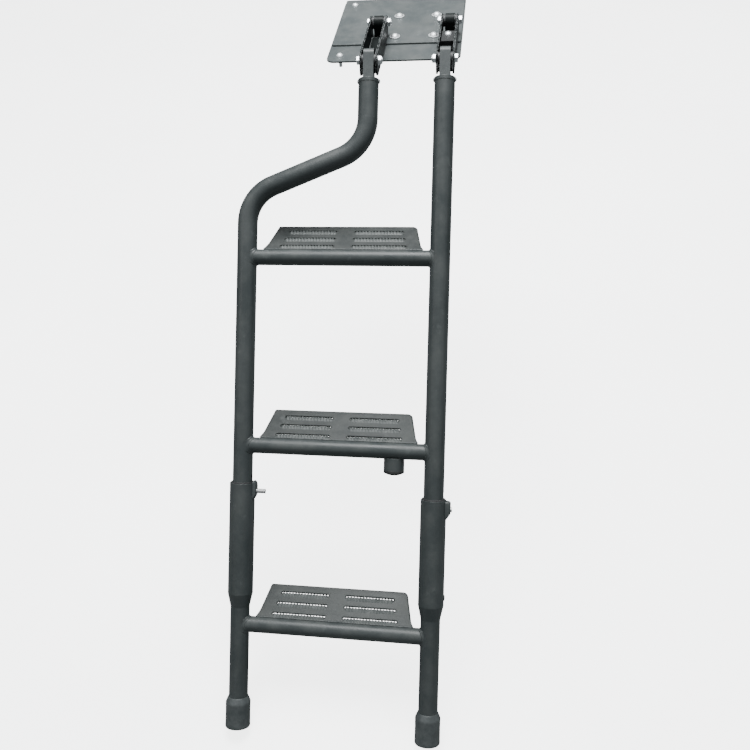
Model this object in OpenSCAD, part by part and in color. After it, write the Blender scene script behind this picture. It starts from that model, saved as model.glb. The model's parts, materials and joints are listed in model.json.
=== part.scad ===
// Folding tailgate step: a three-step ladder on two swing arms that bolt to a truck tailgate.
// Origin: centre of the four mounting bolts, on the underside of the backing plate.
// +X runs along the hinges, +Y points to the cab, +Z is up. All sizes in millimetres.

/* [Mounting plates] */
// Half spacing of the four mounting bolts along the hinges
bolt_x = 36; // [30:1:38]
// Half spacing of the four mounting bolts front to back
bolt_y = 45; // [40:1:50]
// Depth of the backing plate
plate_depth = 266; // [250:1:300]
// Thickness of each plate
plate_t = 3; // [2:0.5:4]

/* [Hinges] */
// Distance from the origin to the right hinge
hinge_x = 66.5; // [64:0.5:70]
// Place of the left hinge
hinge_left = -64; // [-67:0.5:-62]
// Height of both hinge axes above the tailgate
hinge_z = 30; // [29:0.5:34]
// Place of the rear hinge axis
rear_y = -38; // [-40:1:-34]
// Length of a swing arm between its two axes
arm_len = 152; // [148:1:156]
// Diameter of the hinge bolts
bolt_d = 8; // [8:1:10]

/* [Ladder] */
// Lean of the ladder from vertical, in degrees
lean = 45; // [40:1:50]
// Distance between the centres of the two rails
rail_gap = 340; // [330:5:360]
// Outside diameter of the rails
rail_d = 35; // [32:0.5:36]
// Wall of the rails and rungs
wall = 2; // [1.5:0.5:2.5]
// Outside diameter of the rungs
rung_d = 28; // [25:1:30]
// Distance down the rail to the top rung
step_1 = 338; // [330:1:345]
// Distance down the rail to the middle rung
step_2 = 670; // [660:1:672]
// Distance down the rail to the bottom rung
step_3 = 990; // [985:1:1000]

/* [Bend of the left rail] */
// Distance down the rail where the bend starts
bend_start = 99; // [92:1:104]
// Bend radius at the tube's centre
bend_r = 70; // [65:1:76]
// Angle of each bend, in degrees
bend_angle = 68; // [60:1:70]

/* [Legs] */
// Outside diameter of the swaged upper leg
sleeve_d = 44.5; // [44:0.5:46]
// Outside diameter of the lower leg
leg_d = 34; // [32:0.5:35]
// Distance down the rail to the top of the left sleeve
sleeve_left = 737; // [735:1:742]
// Distance down the rail to the top of the right sleeve
sleeve_right = 751; // [748:1:756]
// Distance down the rail to the bottom of the rubber feet
foot_end = 1175; // [1170:1:1190]

/* [Treads] */
// Depth of a tread from the rung's centre line to its back edge
tread_depth = 77; // [74:1:86]
// Half width of a tread at the rung
tread_front = 141; // [138:1:144]
// Half width of a tread at its back edge
tread_back = 125; // [118:1:130]
// Thickness of the tread sheet
sheet_t = 2.5; // [2:0.5:3]

/* [Hidden] */
$fn = 64;
gap = 0.05;                               // running clearance and weld gap
side_gap = 0.15;                          // end float of washers and spacers
plate_left = -153;
plate_right = 89;
hinge_plate_front = -72;
wing_x = -131;
wing_y = 108;
front_y = rear_y - arm_len;
tongue_w = 18;
tongue_t = 20;
tongue_tail = 20;
cheek_gap = 25;
cheek_t = 3;
cheek_out = cheek_gap / 2 + cheek_t;
collar_top = 33;
rail_top = 39;
rail_end = 902;
bend_lap = 1;                             // straight lengths end this far inside a bend
bend_swell = 0.1;                         // a bend's wall is this much thicker in all
hole_pitch = 25;
deck_z = 9;                               // underside of a tread above its rung's centre line
left_x = hinge_x - rail_gap;              // centre of the left rail below its bend
mid_x = hinge_x - rail_gap / 2;           // centre of the treads
sleeve_end = 934;
swage_end = 958;
boot_top = 1120;
pin_r = 4;
pin_left_s = sleeve_left + 14;
pin_right_s = sleeve_right + 16;
bumper_x = -4;
bumper_y = 5;                             // the post hangs a little behind its rung
bumper_top = 12;
bumper_d = 36;
bumper_end = 713;
steel = [0.23, 0.25, 0.26];
zinc = [0.78, 0.79, 0.80];
rubber = [0.09, 0.10, 0.10];
nylon = [0.13, 0.14, 0.14];

// The ladder's own frame: origin on the front hinge axis, rails running down -Z
module on_ladder() {
    translate([0, front_y, hinge_z]) rotate([-lean, 0, 0]) children();
}

// A tube or bar along X through [0, y, z], from x0 to x1
module along_x(x0, x1, d) {
    translate([x0, 0, 0]) rotate([0, 90, 0]) cylinder(h = x1 - x0, d = d);
}

module at_each(points) {
    for (p = points) translate(p) children();
}

module rounded_plate(x0, x1, y0, y1, r, t) {
    linear_extrude(t) union() {
        translate([x0 + r, y0]) square([x1 - x0 - 2 * r, y1 - y0]);
        translate([x0, y0 + r]) square([x1 - x0, y1 - y0 - 2 * r]);
        for (x = [x0 + r, x1 - r], y = [y0 + r, y1 - r]) translate([x, y]) circle(r);
    }
}

// ---------------------------------------------------------------- mounting plates

bolt_points = [for (x = [-bolt_x, bolt_x], y = [-bolt_y, bolt_y]) [x, y, 0]];
wing_points = [[wing_x, -wing_y, 0], [wing_x, wing_y, 0]];

module backing_plate() {
    color(steel) difference() {
        rounded_plate(plate_left, plate_right, -plate_depth / 2, plate_depth / 2, 14, plate_t);
        at_each(bolt_points) translate([0, 0, -1]) cylinder(h = 2 * plate_t, d = 8.2);
        at_each(wing_points) translate([0, 0, -1]) cylinder(h = 2 * plate_t, d = 6.2);
    }
}

module hinge_plate() {
    color(steel) translate([0, 0, plate_t]) difference() {
        rounded_plate(plate_left + 2, plate_right - 2, hinge_plate_front, plate_depth / 2 - 2, 4, plate_t);
        at_each(bolt_points) translate([0, 0, -1]) cylinder(h = 2 * plate_t, d = 8.2);
        translate([wing_x, wing_y, -1]) cylinder(h = 2 * plate_t, d = 6.2);
    }
}

// A domed screw head of radius r and height h, flat side on z = 0
module dome(r, h) {
    sphere_r = (r * r + h * h) / (2 * h);
    intersection() {
        translate([0, 0, h - sphere_r]) sphere(sphere_r);
        cylinder(h = h, r = r);
    }
}

module plate_bolts() {
    color(zinc) at_each(bolt_points) {
        translate([0, 0, -25]) cylinder(h = 26, d = 8);
        cylinder(h = 2 * plate_t + 1.6, d = 8.1);
        translate([0, 0, 2 * plate_t + 1.6]) dome(8, 4.6);
    }
}

module plate_washers() {
    color(zinc) at_each(bolt_points) translate([0, 0, 2 * plate_t]) difference() {
        cylinder(h = 1.6, d = 19);
        translate([0, 0, -1]) cylinder(h = 4, d = 8.1);
    }
}

module wing_screws() {
    color(zinc) for (i = [0, 1]) translate(wing_points[i]) {
        seat = plate_t * (1 + i);
        translate([0, 0, -18]) cylinder(h = 19, d = 6);
        cylinder(h = seat, d = 6.1);
        translate([0, 0, seat]) dome(6.5, 3.6);
    }
}

module lug(x) {
    color(steel) translate([x, rear_y, 0]) difference() {
        union() {
            translate([-tongue_w / 2, -12, 2 * plate_t]) cube([tongue_w, 24, hinge_z - 2 * plate_t]);
            translate([0, 0, hinge_z]) along_x(-tongue_w / 2, tongue_w / 2, 24);
        }
        translate([0, 0, hinge_z]) along_x(-tongue_w, tongue_w, bolt_d + 2 * gap);
    }
}
module lug_left() { lug(hinge_left); }
module lug_right() { lug(hinge_x); }

// Rubber pads under the front of the arms
module rest_pads() {
    color(rubber) for (x = [hinge_left, hinge_x])
        translate([x - 11, -126, plate_t]) cube([22, 34, hinge_z - 22 - plate_t - 0.2]);
}

// ---------------------------------------------------------------- hinges

// Hex bolt through an arm: head outside, on the side given by out = -1 or 1
module hinge_bolt(x, y, out) {
    reach = cheek_out + 7.7;
    color(zinc) translate([x, y, hinge_z]) mirror([out < 0 ? 1 : 0, 0, 0]) {
        along_x(-reach, cheek_out + 1.2, bolt_d);
        along_x(cheek_out + side_gap, cheek_out + 1.2, 17);
        translate([cheek_out + 1.2, 0, 0]) rotate([0, 90, 0]) cylinder(h = 4.5, d = 15, $fn = 6);
    }
}

// Lock nut with its washer on the inner end of a hinge bolt
module hinge_nut(x, y, out) {
    color(zinc) translate([x, y, hinge_z]) mirror([out < 0 ? 0 : 1, 0, 0]) difference() {
        union() {
            along_x(cheek_out + side_gap, cheek_out + 1.2, 17);
            translate([cheek_out + 1.2, 0, 0]) rotate([0, 90, 0]) cylinder(h = 4.5, d = 15, $fn = 6);
            along_x(cheek_out + 5.7, cheek_out + 6.9, 12.6);
        }
        along_x(cheek_out - 1, cheek_out + 9, bolt_d + 0.06);
    }
}

// Nylon spacers between a tongue or lug and the two cheeks
module hinge_spacers(x, y) {
    color(nylon) translate([x, y, hinge_z]) for (m = [0, 1]) mirror([m, 0, 0]) difference() {
        along_x(tongue_w / 2 + side_gap, cheek_gap / 2 - side_gap, 21);
        along_x(0, cheek_gap, bolt_d + 2 * gap);
    }
}

module rear_bolt_left() { hinge_bolt(hinge_left, rear_y, -1); }
module rear_bolt_right() { hinge_bolt(hinge_x, rear_y, 1); }
module front_bolt_left() { hinge_bolt(hinge_left, front_y, -1); }
module front_bolt_right() { hinge_bolt(hinge_x, front_y, 1); }
module rear_nuts() { hinge_nut(hinge_left, rear_y, -1); hinge_nut(hinge_x, rear_y, 1); }
module front_nuts() { hinge_nut(hinge_left, front_y, -1); hinge_nut(hinge_x, front_y, 1); }
module rear_spacers() { hinge_spacers(hinge_left, rear_y); hinge_spacers(hinge_x, rear_y); }
module front_spacers() { hinge_spacers(hinge_left, front_y); hinge_spacers(hinge_x, front_y); }

// ---------------------------------------------------------------- swing arms

arm_top = 12;
arm_low = -22;
web_t = 3;

// Side view of a cheek, u along the arm from the rear axis to the front axis, v up
module cheek_outline() {
    difference() {
        union() {
            circle(arm_top);
            translate([arm_len, 0]) circle(14);
            translate([arm_len + 9, -13]) circle(9);
            polygon([[0, arm_top], [arm_len, arm_top + 2], [arm_len + 14, 0], [arm_len + 18, -13],
                [arm_len + 9, arm_low], [6, arm_low], [-12, 0]]);
        }
        circle(d = bolt_d + 2 * gap);
        translate([arm_len, 0]) circle(d = bolt_d + 2 * gap);
    }
}

// Channel: two cheeks joined by a web along the bottom, whose front edge stops the tongue
module arm(x) {
    web_u0 = 17;
    web_u1 = arm_len + 3.5;
    color(steel) translate([x, rear_y, hinge_z]) union() {
        for (side = [-cheek_out, cheek_gap / 2])
            translate([side, 0, 0]) rotate([90, 0, -90]) mirror([0, 0, 1])
                linear_extrude(cheek_t) cheek_outline();
        translate([-cheek_gap / 2 - 1, -web_u1, arm_low]) cube([cheek_gap + 2, web_u1 - web_u0, web_t]);
    }
}
module arm_left() { arm(hinge_left); }
module arm_right() { arm(hinge_x); }

// Buffer between the cheeks of the right arm, held by a screw from above
module buffer_block() {
    color(rubber) translate([hinge_x, rear_y - 74, hinge_z]) difference() {
        translate([-11, -22, arm_low + web_t]) cube([22, 40, 24]);
        translate([0, 8, arm_low]) cylinder(h = 40, d = 6.1);
    }
}

module buffer_screw() {
    color(zinc) translate([hinge_x, rear_y - 66, hinge_z]) {
        translate([0, 0, arm_low + web_t]) cylinder(h = 24, d = 6);
        translate([0, 0, 5]) dome(8, 4);
    }
}

// ---------------------------------------------------------------- top of the ladder

module tongue(x) {
    color(steel) on_ladder() translate([x, 0, 0]) difference() {
        union() {
            translate([-tongue_w / 2, -tongue_t / 2, -62])
                cube([tongue_w, tongue_t, 62 + tongue_tail - tongue_t / 2]);
            translate([0, 0, tongue_tail - tongue_t / 2]) along_x(-tongue_w / 2, tongue_w / 2, tongue_t);
        }
        along_x(-tongue_w, tongue_w, bolt_d + 2 * gap);
        translate([0, 0, -(collar_top + 3)]) along_x(-tongue_w, tongue_w, 5.1);
    }
}
module tongue_left() { tongue(hinge_left); }
module tongue_right() { tongue(hinge_x); }

// Plug that closes the top of a rail around the tongue
module collar(x) {
    color(steel) on_ladder() translate([x, 0, 0]) difference() {
        union() {
            translate([0, 0, -rail_top]) cylinder(h = rail_top - collar_top, d = rail_d + 1);
            translate([0, 0, -62]) cylinder(h = 62 - rail_top + 1, d = rail_d - 2 * wall - 2 * gap);
        }
        translate([-tongue_w / 2 - gap, -tongue_t / 2 - gap, -70])
            cube([tongue_w + 2 * gap, tongue_t + 2 * gap, 60]);
        translate([0, 0, -(collar_top + 3)]) along_x(-30, 30, 5.1);
    }
}
module collar_left() { collar(hinge_left); }
module collar_right() { collar(hinge_x); }

module collar_pins() {
    half = rail_d / 2 + 0.6;
    color(zinc) on_ladder() for (x = [hinge_left, hinge_x]) translate([x, 0, -(collar_top + 3)]) {
        along_x(-half, half, 5);
        for (m = [0, 1]) mirror([m, 0, 0]) translate([half, 0, 0]) rotate([0, 90, 0]) dome(4, 2);
    }
}

// ---------------------------------------------------------------- rails

bend_in = (hinge_left - left_x - 2 * bend_r * (1 - cos(bend_angle))) / sin(bend_angle);
bend_drop = 2 * bend_r * sin(bend_angle) + bend_in * cos(bend_angle);

// Straight length of rail tube from z = z0 up to z = z1
module tube(z0, z1) {
    translate([0, 0, z0]) difference() {
        cylinder(h = z1 - z0, d = rail_d);
        translate([0, 0, -1]) cylinder(h = z1 - z0 + 2, d = rail_d - 2 * wall);
    }
}

// Bend in the XZ plane, starting at the origin and running down, then towards -X
module elbow() {
    translate([-bend_r, 0, 0]) rotate([-90, 0, 0]) rotate_extrude(angle = bend_angle)
        translate([bend_r, 0]) difference() {
            circle(d = rail_d + bend_swell);
            circle(d = rail_d - 2 * wall - bend_swell);
        }
}

// Height holes, drilled across the rail
module height_holes(x, s) {
    for (k = [-1:4]) translate([x, 0, -s - k * hole_pitch]) along_x(-rail_d, rail_d, 2 * pin_r + 1);
}

module rail_left() {
    bend_end = -bend_start - bend_drop;
    color(steel) on_ladder() {
        translate([hinge_left, 0, -bend_start]) {
            tube(-bend_lap, bend_start - rail_top);
            elbow();
            translate([-bend_r, 0, 0]) rotate([0, bend_angle, 0])
                translate([bend_r, 0, 0]) tube(-bend_in - bend_lap, bend_lap);
        }
        translate([left_x, 0, bend_end]) rotate([0, 180, 0]) elbow();
        difference() {
            translate([left_x, 0, 0]) tube(-rail_end, bend_end + bend_lap);
            height_holes(left_x, pin_left_s);
        }
    }
}

module rail_right() {
    color(steel) on_ladder() difference() {
        translate([hinge_x, 0, -rail_end]) cylinder(h = rail_end - rail_top, d = rail_d);
        translate([hinge_x, 0, -rail_end - 1]) cylinder(h = rail_end, d = rail_d - 2 * wall);
        height_holes(hinge_x, pin_right_s);
    }
}

// Slide ring at the bottom end of each rail
module rail_end_bushes() {
    color(nylon) on_ladder() for (x = [left_x, hinge_x]) translate([x, 0, -rail_end]) difference() {
        cylinder(h = 20, d = sleeve_d - 2 * wall - 0.3);
        translate([0, 0, -1]) cylinder(h = 22, d = rail_d + 2 * gap);
    }
}

// ---------------------------------------------------------------- rungs and treads

// Rung tube whose ends are coped to the two uprights of diameter post_d
module rung(s, post_d) {
    color(steel) on_ladder() translate([0, 0, -s]) difference() {
        along_x(left_x, hinge_x, rung_d);
        along_x(left_x - 1, hinge_x + 1, rung_d - 2 * wall);
        for (x = [left_x, hinge_x])
            translate([x, 0, -rung_d]) cylinder(h = 2 * rung_d, d = post_d + 2 * gap);
    }
}
module rung_top() { rung(step_1, rail_d); }
module rung_middle() { rung(step_2, rail_d); }
module rung_bottom() { rung(step_3, leg_d); }

corner_r = 10;
flange_h = 13;

// Where a tread's front edge meets the back of its rung
deck_y = sqrt(pow(rung_d / 2, 2) - pow(deck_z, 2)) + gap;

// Plan of a tread, drawn in by inset: tapered sides, flared front corners, round back corners
function side_x(y) = tread_front - 4 + (tread_back - tread_front + 4) * (y - 18) / (tread_depth - 18);
function tread_outline(inset) =
    let (back = tread_depth - inset, r = corner_r - inset, cx = side_x(tread_depth - corner_r) - corner_r)
    let (half = concat(
        [[tread_front - inset, deck_y], [tread_front - 1.6 - inset, deck_y + 3], [side_x(20) - inset, 20]],
        [for (a = [10:10:90]) [cx + r * cos(a), back - r + r * sin(a)]]))
    concat(half, [for (i = [len(half) - 1:-1:0]) [-half[i][0], half[i][1]]]);

// Straight slot with round ends, from x0 to x1 at depth y
module slot(x0, x1, y, w) {
    translate([x0 + w / 2, y - w / 2]) square([x1 - x0 - w, w]);
    for (x = [x0 + w / 2, x1 - w / 2]) translate([x, y]) circle(d = w);
}

slot_rows = [17.5, 38.5, 59];
slot_in = 16;
slot_w = 4;
function slot_out(y) = 115 - 0.217 * y;

// Pressed sheet with slots whose rims stand up for grip, and a flange down its sides and back
module tread(s) {
    color(steel) on_ladder() translate([mid_x, 0, -s]) rotate([lean, 0, 0])
        translate([0, 0, deck_z]) difference() {
            union() {
                linear_extrude(sheet_t) polygon(tread_outline(0));
                difference() {
                    translate([0, 0, -flange_h]) linear_extrude(flange_h + 1) polygon(tread_outline(0));
                    translate([0, 0, -flange_h - 1]) linear_extrude(flange_h + 3)
                        polygon(tread_outline(sheet_t));
                    translate([-200, -20, -flange_h - 1]) cube([400, 43, flange_h + 1]);
                }
                for (m = [0, 1], y = slot_rows) mirror([m, 0, 0]) translate([0, 0, 1])
                    linear_extrude(sheet_t + 0.4) slot(slot_in - 1.5, slot_out(y) + 1.5, y, slot_w + 3);
            }
            for (m = [0, 1], y = slot_rows) mirror([m, 0, 0]) translate([0, 0, -1])
                linear_extrude(sheet_t + 4) slot(slot_in, slot_out(y), y, slot_w);
        }
}
module tread_top() { tread(step_1); }
module tread_middle() { tread(step_2); }
module tread_bottom() { tread(step_3); }

// Short tube under the middle rung, and the rubber cap in its end
post_end = bumper_end - 9;
module bumper_post() {
    length = post_end - step_2 - bumper_top;
    color(steel) on_ladder() difference() {
        translate([bumper_x, bumper_y, -post_end]) cylinder(h = length, d = bumper_d);
        translate([bumper_x, bumper_y, -post_end - 1]) cylinder(h = length - 5, d = bumper_d - 2 * wall);
        translate([0, 0, -step_2]) along_x(bumper_x - 30, bumper_x + 30, rung_d + 2 * gap);
    }
}

module bumper_cap() {
    color(rubber) on_ladder() translate([bumper_x, bumper_y, -post_end]) {
        translate([0, 0, -4]) cylinder(h = 16, d = bumper_d - 2 * wall - 2 * gap);
        translate([0, 0, -4]) cylinder(h = 4 - gap, d = bumper_d);
        translate([0, 0, -4]) rotate([180, 0, 0]) dome(bumper_d / 2, 5);
    }
}

// ---------------------------------------------------------------- legs

module leg(x, top, pin_s) {
    r1 = sleeve_d / 2;
    r2 = leg_d / 2;
    color(steel) on_ladder() difference() {
        translate([x, 0, 0]) rotate_extrude() polygon([
            [r1 - wall, -top], [r1, -top], [r1, -sleeve_end], [r2, -swage_end],
            [r2, -foot_end + 20], [r2 - wall, -foot_end + 20], [r2 - wall, -swage_end],
            [r1 - wall, -sleeve_end]]);
        translate([x, 0, -pin_s]) along_x(0, rail_d, 2 * pin_r + 0.2);
    }
}
module leg_left() { leg(left_x, sleeve_left, pin_left_s); }
module leg_right() { leg(hinge_x, sleeve_right, pin_right_s); }

// Guide ring in the mouth of each sleeve, notched for the lock pin
module guide_bushes() {
    legs = [[left_x, sleeve_left, pin_left_s], [hinge_x, sleeve_right, pin_right_s]];
    color(nylon) on_ladder() for (p = legs) translate([p[0], 0, 0]) difference() {
        translate([0, 0, -p[1] - 25]) cylinder(h = 27, d = sleeve_d - 2 * wall - 2 * gap);
        translate([0, 0, -p[1] - 26]) cylinder(h = 30, d = rail_d + 0.3);
        translate([0, 0, -p[2]]) along_x(0, rail_d, 2 * pin_r + 0.6);
    }
}

// Boss on the +X side of a sleeve that holds its lock pin
module lock_housing(x, s, reach) {
    color(steel) on_ladder() difference() {
        union() {
            translate([x, 0, -s]) along_x(15, reach, 26);
            translate([x + 15, -9, -s]) cube([reach - 15, 18, 14]);
        }
        translate([x, 0, -s - 30]) cylinder(h = 60, d = sleeve_d + 2 * gap);
        translate([x, 0, -s]) along_x(0, 60, 2 * pin_r + 0.2);
    }
}
module lock_housing_left() { lock_housing(left_x, pin_left_s, 27); }
module lock_housing_right() { lock_housing(hinge_x, pin_right_s, 29); }

// Pin drawn back clear of the rail, with its groove and head
module lock_pin(x, s, reach) {
    color(zinc) on_ladder() translate([x, 0, -s]) difference() {
        along_x(sleeve_d / 2 - wall - 0.5, reach, 2 * pin_r);
        difference() {
            along_x(reach - 4, reach - 2.5, 3 * pin_r);
            along_x(reach - 5, reach, 2 * pin_r - 2);
        }
    }
}
module lock_pin_left() { lock_pin(left_x, pin_left_s, 42); }
module lock_pin_right() { lock_pin(hinge_x, pin_right_s, 32); }

// Rubber boot on the bottom of a leg
module foot(x) {
    r = sleeve_d / 2;
    bore = leg_d / 2 + gap;
    height = foot_end - boot_top;
    color(rubber) on_ladder() translate([x, 0, -foot_end]) rotate_extrude() polygon([
        [0, 0], [r - 1.6, 0], [r - 0.5, 0.5], [r, 1.6], [r, height - 10], [bore + 1, height],
        [bore, height], [bore, 19.9], [0, 19.9]]);
}
module foot_left() { foot(left_x); }
module foot_right() { foot(hinge_x); }

backing_plate();
hinge_plate();
plate_bolts();
plate_washers();
wing_screws();
lug_left();
lug_right();
rest_pads();
rear_bolt_left();
rear_bolt_right();
rear_nuts();
rear_spacers();
arm_left();
arm_right();
front_bolt_left();
front_bolt_right();
front_nuts();
front_spacers();
buffer_block();
buffer_screw();
tongue_left();
tongue_right();
collar_left();
collar_right();
collar_pins();
rail_left();
rail_right();
rail_end_bushes();
rung_top();
rung_middle();
tread_top();
tread_middle();
bumper_post();
bumper_cap();
leg_left();
leg_right();
guide_bushes();
lock_housing_left();
lock_housing_right();
rung_bottom();
tread_bottom();
foot_left();
foot_right();
lock_pin_left();
lock_pin_right();
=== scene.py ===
import json
import math

import bmesh
import bpy
from mathutils import Matrix, Vector
from mathutils.geometry import tessellate_polygon


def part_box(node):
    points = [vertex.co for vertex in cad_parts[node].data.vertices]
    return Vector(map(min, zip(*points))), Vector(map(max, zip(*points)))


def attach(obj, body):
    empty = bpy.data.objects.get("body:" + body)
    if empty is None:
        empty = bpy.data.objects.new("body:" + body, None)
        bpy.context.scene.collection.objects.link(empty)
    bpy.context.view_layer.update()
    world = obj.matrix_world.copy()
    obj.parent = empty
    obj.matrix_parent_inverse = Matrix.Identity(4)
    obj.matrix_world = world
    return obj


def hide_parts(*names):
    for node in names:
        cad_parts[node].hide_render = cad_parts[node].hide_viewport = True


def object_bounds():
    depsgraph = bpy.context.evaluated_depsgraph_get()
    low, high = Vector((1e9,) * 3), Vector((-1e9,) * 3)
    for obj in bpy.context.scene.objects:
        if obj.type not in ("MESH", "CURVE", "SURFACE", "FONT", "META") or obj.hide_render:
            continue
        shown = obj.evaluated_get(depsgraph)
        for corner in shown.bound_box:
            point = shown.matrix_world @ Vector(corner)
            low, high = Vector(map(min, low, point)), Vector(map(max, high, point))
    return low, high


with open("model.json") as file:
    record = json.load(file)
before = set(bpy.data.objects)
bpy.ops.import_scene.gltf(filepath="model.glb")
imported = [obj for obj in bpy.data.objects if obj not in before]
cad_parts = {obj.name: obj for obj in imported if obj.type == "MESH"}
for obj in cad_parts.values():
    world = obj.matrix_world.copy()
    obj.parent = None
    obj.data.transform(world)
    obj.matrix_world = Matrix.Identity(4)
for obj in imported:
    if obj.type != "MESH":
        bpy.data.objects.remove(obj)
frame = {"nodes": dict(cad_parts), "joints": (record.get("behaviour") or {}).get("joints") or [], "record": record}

cad_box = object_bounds()
MM = 0.001

# ---------------------------------------------------------------- directions and places

joints = {j["name"]: j for j in frame["joints"]}
DOWN = Vector(joints["leg_slide"]["axis"]).normalized()      # down the ladder
RIGHT = Vector((1, 0, 0))
BACK = RIGHT.cross(DOWN)                                     # from the climber towards the truck
PIVOT = Vector(joints["ladder_fold"]["pos_m"])


def middle(node):
    """Middle of a node's box."""
    lo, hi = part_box(node)
    return (lo + hi) / 2


def along(point):
    """Distance of a point down the ladder from the front hinge axis."""
    return (point - PIVOT).dot(DOWN)


X_RIGHT = middle("rail_right").x
X_LEFT = middle("leg_left").x                # the left rail is bent, its leg is straight
RUNG_R = 14 * MM
LEG_R = 17 * MM                              # the narrow part of a leg, below its sleeve


def on_ladder(x, back, s):
    """Point at x, back from the plane of the rails' axes and s down the ladder, all in metres."""
    return Vector((x, PIVOT.y, PIVOT.z)) + BACK * back + DOWN * s


# ---------------------------------------------------------------- materials


class Graph:
    """A small helper to write a procedural material as a chain of nodes."""

    def __init__(self, name):
        self.mat = bpy.data.materials.new(name)
        self.mat.use_nodes = True
        self.tree = self.mat.node_tree
        self.shader = self.tree.nodes["Principled BSDF"]
        self.where = self.add("ShaderNodeTexCoord").outputs["Object"]

    def add(self, kind, **inputs):
        node = self.tree.nodes.new(kind)
        self.set(node, **inputs)
        return node

    def set(self, node, **inputs):
        """Fill inputs by name, with _ for a space, or by number as i0, i1 and so on."""
        for key, value in inputs.items():
            socket = node.inputs[int(key[1:])] if key[0] == "i" and key[1:].isdigit() else None
            socket = socket or node.inputs[key.replace("_", " ")]
            if isinstance(value, bpy.types.NodeSocket):
                self.tree.links.new(value, socket)
            else:
                socket.default_value = value

    def noise(self, scale, detail=3.0, rough=0.55, stretch=None, seed=0.0):
        vector = self.where
        if stretch or seed:
            vector = self.add("ShaderNodeMapping", Vector=vector, Scale=stretch or (1, 1, 1),
                              Location=(seed, seed, seed)).outputs[0]
        return self.add("ShaderNodeTexNoise", Vector=vector, Scale=scale, Detail=detail,
                        Roughness=rough).outputs["Fac"]

    def spread(self, value, lo, hi, to_lo=0.0, to_hi=1.0):
        """value with the range lo..hi stretched to to_lo..to_hi and clamped there."""
        node = self.add("ShaderNodeMapRange", Value=value)
        for name, v in (("From Min", lo), ("From Max", hi), ("To Min", to_lo), ("To Max", to_hi)):
            node.inputs[name].default_value = v
        return node.outputs[0]

    def calc(self, kind, a, b):
        node = self.add("ShaderNodeMath", i0=a, i1=b)
        node.operation = kind
        return node.outputs[0]

    def mix(self, fac, a, b):
        node = self.tree.nodes.new("ShaderNodeMix")
        node.data_type = "RGBA"
        for i, v in ((0, fac), (6, a), (7, b)):
            if isinstance(v, bpy.types.NodeSocket):
                self.tree.links.new(v, node.inputs[i])
            elif i:
                node.inputs[i].default_value = (*v, 1)
            else:
                node.inputs[i].default_value = v
        return node.outputs[2]

    def edges(self, radius):
        """Rounded normal, and a mask from 0 on flat faces to 1 on edges."""
        bevel = self.tree.nodes.new("ShaderNodeBevel")
        bevel.samples = 6
        bevel.inputs["Radius"].default_value = radius
        flat = self.add("ShaderNodeNewGeometry").outputs["Normal"]
        dot = self.add("ShaderNodeVectorMath", i0=bevel.outputs[0], i1=flat)
        dot.operation = "DOT_PRODUCT"
        return bevel.outputs[0], self.spread(dot.outputs["Value"], 0.995, 0.80)

    def upward(self):
        """Mask of the faces that look up, where dust settles."""
        normal = self.add("ShaderNodeNewGeometry").outputs["Normal"]
        split = self.add("ShaderNodeSeparateXYZ", i0=normal)
        return self.spread(split.outputs[2], 0.35, 0.95)

    def bump(self, height, depth, strength, normal=None):
        node = self.add("ShaderNodeBump", Height=height, Strength=strength, Distance=depth)
        if normal is not None:
            self.tree.links.new(normal, node.inputs["Normal"])
        return node.outputs[0]


ROAD_DUST = (0.21, 0.215, 0.20)


def powder_coat(name, low, high, wear_and_highlight_tone, rough, grain, peel, dust, edge_wear_and_highlight=0.75, corner=0.9,
                scuffed=0.22, shine=0.5):
    """Baked coating: mottled colour, orange-peel relief, paler edges and a little road dust.

    The colour runs from low to high and turns to a paler tone where scuffed and along edges; the paler
    edges are edge wear and, where strong, a painted highlight along the edges. grain is the scale of the
    orange peel and peel its depth; corner is the radius of the paler edges in mm.
    """
    g = Graph(name)
    rounded, edge = g.edges(corner * MM)
    patch = g.spread(g.noise(11, 4), 0.35, 0.65)
    fine = g.noise(grain, 2, 0.6)
    colour = g.mix(patch, low, high)
    colour = g.mix(g.spread(fine, 0.50, 0.74, 0.0, 0.42), colour, [min(1, 2.1 * c) for c in high])
    chips = g.spread(g.noise(170, 5, 0.65, seed=3.1), 0.44, 0.62)
    # Paler edges: edge wear, and where strong also a painted highlight along the edges.
    colour = g.mix(g.calc("MULTIPLY", edge, g.calc("MULTIPLY", chips, edge_wear_and_highlight)), colour, wear_and_highlight_tone)
    scuff = g.spread(g.noise(42, 6, 0.7, (1, 1, 0.12), 7.7), 0.60, 0.72, 0.0, scuffed)
    colour = g.mix(scuff, colour, wear_and_highlight_tone)
    drifts = g.spread(g.noise(26, 6, 0.68, seed=1.7), 0.38, 0.66, 0.0, dust)
    settled = g.calc("MULTIPLY", g.upward(), drifts)
    colour = g.mix(settled, colour, ROAD_DUST)
    bare = g.spread(patch, 0, 1, rough - 0.05, rough + 0.05)
    gloss = g.calc("ADD", bare, g.calc("MULTIPLY", settled, 0.5))
    g.set(g.shader, Base_Color=colour, Roughness=gloss, Normal=g.bump(fine, peel, 0.35, rounded))
    g.shader.inputs["Specular IOR Level"].default_value = shine
    return g.mat


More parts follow.
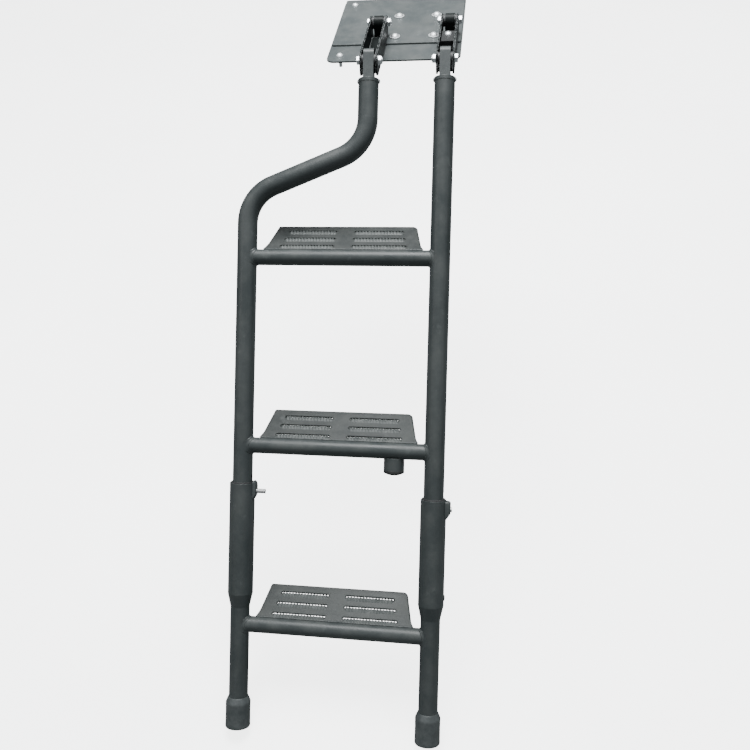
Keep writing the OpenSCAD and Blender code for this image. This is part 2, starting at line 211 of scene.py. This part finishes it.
def plated(name, tint, shade, rough, streak):
    """Bright plating or bare steel with drawing lines, cloudy tarnish and dark dirt worked into the lines."""
    g = Graph(name)
    rounded, edge = g.edges(0.5 * MM)
    cloud = g.spread(g.noise(95, 5, 0.6), 0.36, 0.66)
    lines = g.noise(900, 2, 0.5, streak)
    colour = g.mix(cloud, shade, tint)
    colour = g.mix(g.spread(lines, 0.45, 0.75, 0, 0.25), colour, [0.6 * c for c in shade])
    colour = g.mix(g.calc("MULTIPLY", edge, 0.35), colour, (0.93, 0.93, 0.92))
    drawn = g.spread(lines, 0.3, 0.7, rough - 0.07, rough + 0.07)
    gloss = g.calc("ADD", drawn, g.spread(cloud, 0, 1, 0.10, 0.0))
    g.set(g.shader, Base_Color=colour, Roughness=gloss, Metallic=0.92,
          Normal=g.bump(lines, 0.06 * MM, 0.25, rounded))
    return g.mat


def rubber(name, low, high, smooth, dull):
    """Moulded rubber: near-black with a grey bloom, fine texture and dusty, scuffed edges."""
    g = Graph(name)
    rounded, edge = g.edges(1.2 * MM)
    bloom = g.spread(g.noise(48, 6, 0.7), 0.40, 0.68)
    grit = g.noise(1500, 3, 0.7)
    colour = g.mix(bloom, low, high)
    dusty = g.calc("MULTIPLY", edge, g.spread(bloom, 0, 1, 0.25, 0.6))
    colour = g.mix(dusty, colour, (0.15, 0.155, 0.15))
    colour = g.mix(g.spread(grit, 0.6, 0.8, 0, 0.3), colour, (0.12, 0.12, 0.115))
    g.set(g.shader, Base_Color=colour, Roughness=g.spread(bloom, 0, 1, smooth, dull),
          Normal=g.bump(grit, 0.15 * MM, 0.5, rounded))
    return g.mat


def nylon(name):
    """Matte black plastic with paler edges."""
    g = Graph(name)
    rounded, edge = g.edges(0.5 * MM)
    haze = g.spread(g.noise(130, 4), 0.35, 0.7)
    colour = g.mix(haze, (0.028, 0.028, 0.030), (0.055, 0.055, 0.057))
    colour = g.mix(g.calc("MULTIPLY", edge, 0.4), colour, (0.13, 0.13, 0.13))
    g.set(g.shader, Base_Color=colour, Roughness=g.spread(haze, 0, 1, 0.42, 0.58),
          Normal=g.bump(g.noise(1100, 2), 0.08 * MM, 0.3, rounded))
    return g.mat


FRAME = powder_coat(
    "frame_coat", low=(0.029, 0.036, 0.037), high=(0.040, 0.047, 0.048), wear_and_highlight_tone=(0.17, 0.185, 0.185),
    rough=0.38, grain=1500, peel=0.22 * MM, dust=0.22)
DECK = powder_coat(
    "tread_coat", low=(0.016, 0.020, 0.0197), high=(0.025, 0.030, 0.029), wear_and_highlight_tone=(0.15, 0.162, 0.16),
    rough=0.52, grain=620, peel=0.50 * MM, dust=0.15)
# Teeth coat: the deck's coat painted lighter, a painted highlight where the lips and tooth tips catch the light;
# its paler edges are wear and painted highlight.
TEETH_PAINTED_HIGHLIGHT = powder_coat(
    "teeth_painted_highlight_coat", low=(0.036, 0.043, 0.042), high=(0.070, 0.079, 0.078), wear_and_highlight_tone=(0.36, 0.37, 0.36),
    rough=0.45, grain=420, peel=0.80 * MM, dust=0.18, edge_wear_and_highlight=1.3, corner=0.7)
BRACKET = powder_coat(
    "bracket_coat", low=(0.038, 0.045, 0.046), high=(0.050, 0.058, 0.059), wear_and_highlight_tone=(0.26, 0.28, 0.28),
    rough=0.40, grain=1300, peel=0.20 * MM, dust=0.20)
# Arm coat: near black, with little shine, dust or scuffing, as painted shade for the shadowed insides of the arm
# channels and lugs; its strong paler edges are edge wear and a painted highlight along the cheek edges.
ARM_PAINTED_SHADE = powder_coat(
    "arm_painted_shade_coat", low=(0.006, 0.008, 0.008), high=(0.011, 0.014, 0.014), wear_and_highlight_tone=(0.44, 0.46, 0.46),
    rough=0.42, grain=1300, peel=0.20 * MM, dust=0.02, edge_wear_and_highlight=3.5, corner=1.5, scuffed=0.02, shine=0.15)
PLATE = powder_coat(
    "plate_coat", low=(0.062, 0.073, 0.075), high=(0.076, 0.087, 0.089), wear_and_highlight_tone=(0.28, 0.30, 0.30),
    rough=0.40, grain=1300, peel=0.20 * MM, dust=0.26)
ZINC = plated("zinc", (0.88, 0.90, 0.91), (0.70, 0.72, 0.74), rough=0.24, streak=(1, 1, 0.3))
SATIN = plated("satin_zinc", (0.95, 0.96, 0.97), (0.84, 0.86, 0.87), rough=0.44, streak=(1, 1, 0.3))
PIN = plated("pin_steel", (0.78, 0.78, 0.77), (0.58, 0.58, 0.58), rough=0.24, streak=(1, 0.06, 0.06))
BOOT = rubber("boot_rubber", (0.046, 0.054, 0.055), (0.084, 0.093, 0.094), smooth=0.40, dull=0.55)
PAD = rubber("pad_rubber", (0.012, 0.013, 0.014), (0.026, 0.028, 0.028), smooth=0.62, dull=0.85)
NYLON = nylon("nylon")

BY_SLOT = {"frame_steel": FRAME, "tread_steel": DECK, "zinc": ZINC, "pin_steel": PIN,
           "rubber": PAD, "nylon": NYLON}
# The arms and lugs take the near-black arm coat, which is painted shade for the shadowed insides of their
# channels.
BY_NODE = {"backing_plate": PLATE, "hinge_plate": PLATE,
           "tongue_left": BRACKET, "tongue_right": BRACKET,
           "arm_left": ARM_PAINTED_SHADE, "arm_right": ARM_PAINTED_SHADE, "lug_left": ARM_PAINTED_SHADE, "lug_right": ARM_PAINTED_SHADE,
           "plate_bolts": SATIN, "plate_washers": SATIN, "wing_screws": SATIN}

for part in frame["record"]["subparts"]:
    node = frame["nodes"][part["node"]]
    node.data.materials.clear()
    node.data.materials.append(BY_NODE.get(part["node"], BY_SLOT[part["material_slot"]]))

# ---------------------------------------------------------------- mesh helpers


def finish_mesh(name, verts, faces, mat, body, sharp):
    """Make a piece, smooth except at edges sharper than the given angle, and put it on its body."""
    mesh = bpy.data.meshes.new(name)
    mesh.from_pydata([tuple(v) for v in verts], [], faces)
    bm = bmesh.new()
    bm.from_mesh(mesh)
    bmesh.ops.remove_doubles(bm, verts=bm.verts, dist=1e-7)
    bmesh.ops.recalc_face_normals(bm, faces=bm.faces)
    bm.to_mesh(mesh)
    bm.free()
    mesh.polygons.foreach_set("use_smooth", [True] * len(mesh.polygons))
    mesh.set_sharp_from_angle(angle=math.radians(sharp))
    mesh.materials.append(mat)
    obj = bpy.data.objects.new(name, mesh)
    bpy.context.scene.collection.objects.link(obj)
    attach(obj, body)
    return obj


def bridge(faces, a, b, n):
    """Quads between the rings of n vertices that start at a and at b."""
    for i in range(n):
        j = (i + 1) % n
        faces.append((a + i, a + j, b + j, b + i))


def cap(faces, loops):
    """Triangles over an outline with holes. Each loop is a list of (vertex number, flat point)."""
    numbers = [i for loop in loops for i, _ in loop]
    shape = [[Vector((*p, 0)) for _, p in loop] for loop in loops]
    faces.extend(tuple(numbers[i] for i in tri) for tri in tessellate_polygon(shape))


def lathe(profile, origin, axis, n):
    """Verts and faces of a solid turned about axis. The profile runs from pole to pole as (r, h) in mm."""
    side = axis.orthogonal().normalized()
    other = axis.cross(side)
    verts, faces, rings = [], [], []
    for r, h in profile:
        centre = origin + axis * (h * MM)
        rings.append(len(verts))
        if r == 0:
            verts.append(centre)
        else:
            for i in range(n):
                a = 2 * math.pi * i / n
                verts.append(centre + (side * math.cos(a) + other * math.sin(a)) * (r * MM))
    for k in range(len(profile) - 1):
        a, b = rings[k], rings[k + 1]
        if profile[k][0] == 0:
            faces.extend((a, b + i, b + (i + 1) % n) for i in range(n))
        elif profile[k + 1][0] == 0:
            faces.extend((b, a + (i + 1) % n, a + i) for i in range(n))
        else:
            bridge(faces, a, b, n)
    return verts, faces


def smoothstep(x, a, b):
    t = max(0.0, min(1.0, (x - a) / (b - a)))
    return t * t * (3 - 2 * t)


# ---------------------------------------------------------------- treads, in mm from the rung's axis

SHEET = 2.5                                  # thickness
FLANGE = 13.0                                # depth of the folded edge below the sheet
ROLL, FLAT_ROLL = 3.2, 0.45 * SHEET          # edge radius where the sheet is folded, and where it is flat
TRIM = 0.5                                   # bevel along the lower edges of the flange
CORNER_RIGHT, CORNER_LEFT = 10.0, 4.0        # radii of the back corners
BACK_HALF = 125.0                            # half width at the back edge
SHOULDER_Y, SHOULDER = 18, 4                 # where the sides start to run in, and the step there
FOLD_FROM, FOLD_TO = 19, 27                  # the flange grows to its full depth between these
SLOT_ROWS = (17.5, 38.5, 59)
SLOT_W = 4.0
SLOT_INNER = 16                              # inner ends of the slots, from the tread's middle
SLOT_OUTER, SLOT_RUN_IN = 115, 0.217         # outer ends of the slots, and how they follow the sides
SLOT_RIM = ((2.0, SHEET), (1.3, SHEET + 0.55), (0.6, SHEET + 1.15), (0.15, SHEET + 1.15),
            (0.0, SHEET + 0.7), (0.0, 0.3), (0.35, 0.0))       # (grown by, height) down through a slot
TOOTH = 5.6                                  # pitch of the serrated lips


def side_x(y, half, depth):
    """Half width of a tread at y, behind its shoulder."""
    return half - SHOULDER + (BACK_HALF - half + SHOULDER) * (y - SHOULDER_Y) / (depth - SHOULDER_Y)


def half_outline(half, depth, front, corner):
    """Right half of a tread's plan, from the front to the middle of the back edge."""
    cy = depth - corner
    cx = side_x(cy, half, depth) - corner
    pts = [(half, front), (half - 1.0, front + 2.0), (half - 2.6, front + 5), (side_x(20, half, depth), 20)]
    y = 26
    while y < cy - 3:
        pts.append((side_x(y, half, depth), y))
        y += 5
    for degrees in range(8, 91, 6):
        a = math.radians(degrees)
        pts.append((cx + corner * math.cos(a), cy + corner * math.sin(a)))
    return pts + [(cx * (1 - i / 6), depth) for i in range(1, 6)]


def deck_outline(half, depth, front):
    right = half_outline(half, depth, front, CORNER_RIGHT)
    left = half_outline(half, depth, front, CORNER_LEFT)
    return right + [(-x, y) for x, y in [(0.0, depth)] + left[::-1]]


def inward(loop):
    """Unit miter directions that point into a counter-clockwise loop."""
    out, n = [], len(loop)
    for i in range(n):
        a, b, c = (Vector(loop[(i + k) % n]) for k in (-1, 0, 1))
        d0, d1 = (b - a).normalized(), (c - b).normalized()
        n0, n1 = Vector((-d0.y, d0.x)), Vector((-d1.y, d1.x))
        m = (n0 + n1).normalized()
        out.append(m / max(0.5, m.dot(n0)))
    return out


def edge_rings(outline, verts, place):
    """Rings over the rolled edge, down the flange and back up to the underside of the sheet."""
    directions = inward(outline)
    folded = [smoothstep(y, FOLD_FROM, FOLD_TO) for _, y in outline]

    def ring(inset, height):
        first = len(verts)
        for (x, y), m, w in zip(outline, directions, folded):
            i = inset(w)
            verts.append(place(x + m.x * i, y + m.y * i, height(w)))
        return first

    def roll(w):
        return FLAT_ROLL + (ROLL - FLAT_ROLL) * w

    rings = [ring(roll, lambda w: SHEET)]
    for degrees in (22, 45, 68, 90):
        c, s = math.cos(math.radians(degrees)), math.sin(math.radians(degrees))
        rings.append(ring(lambda w: roll(w) * (1 - s), lambda w: SHEET - roll(w) * (1 - c)))
    rings.append(ring(lambda w: 0, lambda w: TRIM - FLANGE * w))
    rings.append(ring(lambda w: TRIM, lambda w: -FLANGE * w))
    rings.append(ring(lambda w: SHEET - TRIM, lambda w: -FLANGE * w))
    rings.append(ring(lambda w: SHEET, lambda w: (TRIM - FLANGE) * w))
    rings.append(ring(lambda w: SHEET + 0.1, lambda w: -0.8 * w))
    rings.append(ring(lambda w: SHEET + 0.9, lambda w: 0.0))
    return rings


def slot_loop(x0, x1, y, grow):
    """Counter-clockwise round-ended slot, grown by grow."""
    r = SLOT_W / 2
    pts = []
    for cx, start in ((x1 - r, -90), (x0 + r, 90)):
        for degrees in range(start, start + 181, 20):
            a = math.radians(degrees)
            pts.append((cx + (r + grow) * math.cos(a), y + (r + grow) * math.sin(a)))
    return pts


def slot_rings(x0, x1, y, verts, place):
    """Rings of one slot, from the foot of its raised rim down to the underside of the sheet."""
    rings = []
    for grow, z in SLOT_RIM:
        rings.append(len(verts))
        verts.extend(place(px, py, z) for px, py in slot_loop(x0, x1, y, grow))
    return rings


def grip_strip(x0, x1, y, verts, faces, place):
    """Serrated lip cut from the sheet in front of a slot: it ramps up and leans back over the slot."""
    first = len(verts)
    steps = 4 * max(1, round((x1 - x0) / TOOTH))
    for i in range(steps + 1):
        x = x0 + (x1 - x0) * i / steps
        wave = (0.0, 0.5, 1.0, 0.5)[i % 4]
        uneven = 0.85 + 0.15 * math.sin(12.9 * i + 3.1 * y)
        taper = min(1.0, 0.25 + min(i, steps - i) / 3)
        h = (1.0 + 1.9 * wave * uneven) * taper
        lean = 1.1 + 1.0 * wave * uneven
        section = ((-6.6, -0.3), (-4.4, 0.34 * h), (-1.6, 0.80 * h), (lean - 0.8, h), (lean, 0.88 * h),
                   (lean - 0.6, 0.1), (0.5, -1.1))
        verts.extend(place(x, y + dy, SHEET + dz) for dy, dz in section)
    rows = len(section)
    for i in range(steps):
        bridge(faces, first + i * rows, first + (i + 1) * rows, rows)
    faces.append(tuple(range(first, first + rows)))
    faces.append(tuple(range(first + steps * rows, first + (steps + 1) * rows)))


def seam_bead(half, front, place):
    """Verts and faces of the uneven bead that closes the seam between a deck's front edge and its rung."""
    steps, sides = 150, 8
    up = RIGHT.cross(BACK)
    out = RIGHT.cross(up)
    verts, faces = [], []
    for i in range(steps + 1):
        centre = place(-half + 2 + (2 * half - 4) * i / steps, front - 0.4, SHEET - 1.2)
        radius = (1.7 + 0.18 * math.sin(i * 1.9) + 0.12 * math.sin(i * 0.53)) * MM
        for k in range(sides):
            a = 2 * math.pi * k / sides
            verts.append(centre + (up * math.cos(a) + out * math.sin(a)) * radius)
    for i in range(steps):
        bridge(faces, i * sides, (i + 1) * sides, sides)
    faces.append(tuple(range(sides)))
    faces.append(tuple(range(steps * sides, (steps + 1) * sides)))
    return verts, faces


def build_tread(node, rung, body):
    lo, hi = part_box(node)
    core = middle(rung)
    cx = (lo.x + hi.x) / 2
    under = lo.z / MM + FLANGE
    half, depth, front = (hi.x - lo.x) / 2 / MM, (hi.y - core.y) / MM, (lo.y - core.y) / MM

    def place(x, y, z):
        return Vector((cx + x * MM, core.y + y * MM, (under + z) * MM))

    outline = deck_outline(half, depth, front)
    verts, faces, n = [], [], len(outline)
    edge = edge_rings(outline, verts, place)
    for a, b in zip(edge, edge[1:]):
        bridge(faces, a, b, n)

    slots, spans = [], []
    for y in SLOT_ROWS:
        outer = SLOT_OUTER - SLOT_RUN_IN * y
        for x0, x1 in ((SLOT_INNER, outer), (-outer, -SLOT_INNER)):
            rings = slot_rings(x0, x1, y, verts, place)
            m = rings[1] - rings[0]          # vertices in each ring of a slot
            for a, b in zip(rings, rings[1:]):
                bridge(faces, a, b, m)
            slots.append(rings)
            spans.append((x0 + 1, x1 - 1, y))

    for k in (0, -1):                        # the top and the underside of the sheet
        loops = [range(edge[k], edge[k] + n)]
        loops += [range(rings[k], rings[k] + m)[::-1] for rings in slots]
        cap(faces, [[(i, verts[i].xy) for i in loop] for loop in loops])

    deck = finish_mesh("deck_" + node, verts, faces, DECK, body, 35)
    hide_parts(node)

    verts, faces = [], []
    for x0, x1, y in spans:
        grip_strip(x0, x1, y - SLOT_W / 2, verts, faces, place)
    # The tooth lips take the lighter teeth coat, a painted highlight on the lips and tooth tips.
    finish_mesh("teeth_" + node, verts, faces, TEETH_PAINTED_HIGHLIGHT, body, 30)

    verts, faces = seam_bead(half, front, place)
    finish_mesh("seam_" + node, verts, faces, FRAME, body, 60)


build_tread("tread_top", "rung_top", "ladder")
build_tread("tread_middle", "rung_middle", "ladder")
build_tread("tread_bottom", "rung_bottom", "lower_section")

# ---------------------------------------------------------------- weld fillets

FILLET = 3.6 * MM                            # reach of a weld along the rung and over the upright


def rung_weld(rung, x, side, upright, body):
    """Smooth weld round the coped end of a rung, on the inner side of an upright of the given radius."""
    s, steps = along(middle(rung)), 120
    verts, faces = [], []

    def point(a, r, out):
        back = max(-0.975 * upright, min(0.975 * upright, r * math.cos(a)))
        skin = math.sqrt(upright ** 2 - back ** 2)
        return on_ladder(x + side * (skin + out), back, s + r * math.sin(a))

    for i in range(steps):
        a = 2 * math.pi * i / steps
        reach = FILLET * (1 + 0.05 * math.sin(31 * a + s * 9) + 0.06 * math.sin(5 * a + x * 40))
        on_rung = point(a, RUNG_R + 0.05 * MM, reach)
        corner = point(a, RUNG_R + 0.05 * MM, 0.05 * MM)
        on_upright = point(a, RUNG_R + reach, 0.02 * MM)
        for t in (0, 0.17, 0.33, 0.5, 0.67, 0.83, 1):
            verts.append(on_rung * (1 - t) ** 2 + corner * (2 * t * (1 - t)) + on_upright * t ** 2)
        verts.append(point(a, RUNG_R - 0.6 * MM, -0.6 * MM))
    rows = len(verts) // steps
    for i in range(steps):
        bridge(faces, i * rows, (i + 1) % steps * rows, rows)
    name = f"weld_{rung}_{'left' if side > 0 else 'right'}"
    finish_mesh(name, verts, faces, FRAME, body, 60)


lo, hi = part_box("rail_right")
rail_radius = (hi.x - lo.x) / 2
for rung, radius, body in (("rung_top", rail_radius, "ladder"), ("rung_middle", rail_radius, "ladder"),
                           ("rung_bottom", LEG_R, "lower_section")):
    rung_weld(rung, X_LEFT, 1, radius, body)
    rung_weld(rung, X_RIGHT, -1, radius, body)

# ---------------------------------------------------------------- rubber boots, in mm

SOLE = 24                                    # from the ground side to the end of the leg inside

for node in ("foot_left", "foot_right"):
    lo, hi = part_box(node)
    x, r, bore = (lo.x + hi.x) / 2, (hi.x - lo.x) / 2 / MM, LEG_R / MM + 0.1
    # corner to corner, the box of a leaning drum also holds the radius of its sole and of its mouth
    end = along(Vector((x, lo.y, lo.z))) - (r - 1) * MM
    length = (end - along(Vector((x, hi.y, hi.z))) - LEG_R) / MM - 1
    grooves = [(0, 0.4), (5, 0.4), (6, 1.4), (8, 1.4), (9, 0.4), (13, 0.4), (14, 1.4), (16, 1.4), (17, 0.3)]
    side = [(r - 1.8, 0.1), (r - 0.7, 0.5), (r - 0.1, 1.7), (r, 3), (r - 0.15, 8), (r - 0.3, length / 2),
            (r - 0.1, length - 13), (r, length - 11), (r - 0.3, length - 9.6), (r - 1.1, length - 7.6)]
    mouth = [(r - 3.1, length - 3), (r - 4.1, length - 0.9), (r - 4.6, length - 0.3), (bore, length - 0.2),
             (bore, length - 2), (bore, SOLE), (0, SOLE)]
    verts, faces = lathe(grooves + side + mouth, on_ladder(x, 0, end), -DOWN, 96)
    boot = finish_mesh("boot_" + node, verts, faces, BOOT, "lower_section", 50)
    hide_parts(node)

# ---------------------------------------------------------------- cast ears for the lock pins, in mm

EAR_SEAT = 22.1                              # radius an ear sits on, just inside the skin of its sleeve
EAR_CORNER = 3.0
PIN_BORE = 4.15


def rounded_frame(top, bottom, half):
    """Loop of (back, down) points round a rectangle with rounded corners."""
    r = EAR_CORNER
    corners = ((half - r, bottom - r, 0), (r - half, bottom - r, 90),
               (r - half, top + r, 180), (half - r, top + r, 270))
    return [(cx + r * math.cos(math.radians(a)), cy + r * math.sin(math.radians(a)))
            for cx, cy, start in corners for a in range(start, start + 91, 15)]


def pin_ear(node, pin, x, stations):
    """Ear welded to a sleeve and bored for its pin.

    Each station is (out from the rail, top, bottom, half width), down from the pin. The first one has
    no distance from the rail, since it follows the sleeve.
    """
    s = along(middle(pin))
    verts, faces = [], []

    def ring(loop, out):
        first = len(verts)
        for back, down in loop:
            skin = out or math.sqrt(EAR_SEAT ** 2 - back ** 2)
            verts.append(on_ladder(x + skin * MM, back * MM, s + down * MM))
        return first

    outs = [out for out, *_ in stations]
    frames = [rounded_frame(*size) for _, *size in stations]
    n = len(frames[0])
    bore = [(PIN_BORE * math.cos(2 * math.pi * i / n), PIN_BORE * math.sin(2 * math.pi * i / n))
            for i in range(n)]
    skins = [ring(loop, out) for loop, out in zip(frames, outs)]
    holes = [ring(bore, outs[0]), ring(bore, outs[-1])]
    for a, b in zip(skins, skins[1:]):
        bridge(faces, a, b, n)
    bridge(faces, holes[0], holes[1], n)
    for k in (0, -1):
        cap(faces, [[(skins[k] + i, frames[k][i]) for i in range(n)],
                    [(holes[k] + i, bore[i]) for i in range(n)]])
    ear = finish_mesh("ear_" + node, verts, faces, FRAME, "lower_section", 35)
    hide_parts(node)


pin_ear("lock_housing_left", "lock_pin_left", X_LEFT,
        ((None, -18.5, 15, 8.6), (22.4, -18.2, 13.5, 8.6), (24.4, -16.5, 10, 8.6),
         (25.5, -14, 7.6, 8.4), (26, -11.5, 6.2, 7.6)))
pin_ear("lock_housing_right", "lock_pin_right", X_RIGHT,
        ((None, -14.6, 18.5, 8.6), (24.5, -14.6, 14, 8.6), (27.6, -13.8, 9.6, 8.6),
         (29.0, -12.4, 7.4, 8.2), (29.6, -11, 6.2, 7.4)))

# ---------------------------------------------------------------- stop rivet on the right sleeve

RIVET_DROP = 155 * MM                        # from the middle of the right lock housing
RIVET_HEAD = ((0, -1), (5.2, -1), (5.2, 0.3), (4.9, 0.9), (4.0, 1.5), (2.5, 1.9), (0, 2.0))

skin_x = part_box("leg_right")[1].x - 0.4 * MM
seat = on_ladder(skin_x, 0, along(middle("lock_housing_right")) + RIVET_DROP)
verts, faces = lathe(RIVET_HEAD, seat, RIGHT, 40)
finish_mesh("stop_rivet", verts, faces, FRAME, "lower_section", 50)

# ---------------------------------------------------------------- floor, light and camera

FLOOR_HALF = 9                               # half the side of the floor, in metres
CENTRE = (cad_box[0] + cad_box[1]) / 2


def floor():
    """Pale floor. Only the camera sees it that bright, so it hardly lights the object from below."""
    g = Graph("studio_floor")
    tone = g.mix(g.spread(g.noise(1.6, 5), 0.3, 0.7), (0.90, 0.905, 0.905), (0.94, 0.945, 0.945))
    seen = g.add("ShaderNodeLightPath").outputs["Is Camera Ray"]
    g.set(g.shader, Base_Color=g.mix(seen, (0.20, 0.21, 0.21), tone), Roughness=0.8,
          Emission_Color=tone, Emission_Strength=g.calc("MULTIPLY", seen, 4.0))
    g.shader.inputs["Specular IOR Level"].default_value = 0.0
    mesh = bpy.data.meshes.new("floor")
    z = cad_box[0].z - 0.3 * MM
    w = FLOOR_HALF
    mesh.from_pydata([(-w, -w, z), (w, -w, z), (w, w, z), (-w, w, z)], [], [(0, 1, 2, 3)])
    mesh.materials.append(g.mat)
    obj = bpy.data.objects.new("floor", mesh)
    bpy.context.scene.collection.objects.link(obj)
    return obj


def area(name, place, width, height, power, tint):
    """Rectangular lamp at place, aimed at the object's centre."""
    lamp = bpy.data.lights.new(name, "AREA")
    lamp.shape, lamp.size, lamp.size_y = "RECTANGLE", width, height
    lamp.energy, lamp.color = power, tint
    obj = bpy.data.objects.new(name, lamp)
    obj.location = place
    obj.rotation_mode = "QUATERNION"
    obj.rotation_quaternion = (CENTRE - Vector(place)).to_track_quat("-Z", "Y")
    bpy.context.scene.collection.objects.link(obj)
    return obj


floor()
area("top", (0.0, 0.35, 2.5), 1.7, 1.5, power=150, tint=(0.97, 0.99, 1.0))
area("left", (-2.4, -1.3, 1.6), 1.4, 1.6, power=7, tint=(1.0, 0.99, 0.97))
area("right", (2.4, -1.6, 1.0), 0.8, 1.6, power=2, tint=(0.96, 0.98, 1.0))


def sky():
    """Bright overhead and dim at the horizon, as under a cloudy sky; the camera sees it pale."""
    world = bpy.data.worlds.new("studio")
    world.use_nodes = True
    tree = world.node_tree
    link, new = tree.links.new, tree.nodes.new
    split = new("ShaderNodeSeparateXYZ")
    link(new("ShaderNodeTexCoord").outputs["Generated"], split.inputs[0])
    height = new("ShaderNodeMapRange")
    for name, v in (("From Min", 0.05), ("From Max", 0.95), ("To Min", 0.05), ("To Max", 0.85)):
        height.inputs[name].default_value = v
    link(split.outputs[2], height.inputs["Value"])
    seen = new("ShaderNodeMix")
    link(new("ShaderNodeLightPath").outputs["Is Camera Ray"], seen.inputs[0])
    link(height.outputs[0], seen.inputs[2])
    seen.inputs[3].default_value = 5.0
    link(seen.outputs[0], tree.nodes["Background"].inputs[1])
    tree.nodes["Background"].inputs[0].default_value = (0.92, 0.96, 0.98, 1)
    return world


bpy.context.scene.world = sky()

FOCAL = 16 / 15                              # focal length over the width of the view
EYE = PIVOT + Vector((0.154, -1.3223, 0.6155))
PITCH, YAW, TILT = 46.06, -11.68, -6.82      # degrees below level, right of +Y, and about the view

pitch, yaw, tilt = (math.radians(a) for a in (PITCH, YAW, TILT))
look = Vector((math.sin(yaw) * math.cos(pitch), math.cos(yaw) * math.cos(pitch), -math.sin(pitch)))
level = look.cross(Vector((0, 0, 1))).normalized()
over = level.cross(look)
cam_x = level * math.cos(tilt) + over * math.sin(tilt)
cam_y = over * math.cos(tilt) - level * math.sin(tilt)

lens = bpy.data.cameras.new("camera")
lens.sensor_width = 36
lens.lens = FOCAL * lens.sensor_width
lens.clip_start, lens.clip_end = 0.05, 40
camera = bpy.data.objects.new("camera", lens)
turn = Matrix((cam_x, cam_y, -look)).transposed().to_4x4()
camera.matrix_world = Matrix.Translation(EYE) @ turn
bpy.context.scene.collection.objects.link(camera)
bpy.context.scene.camera = camera
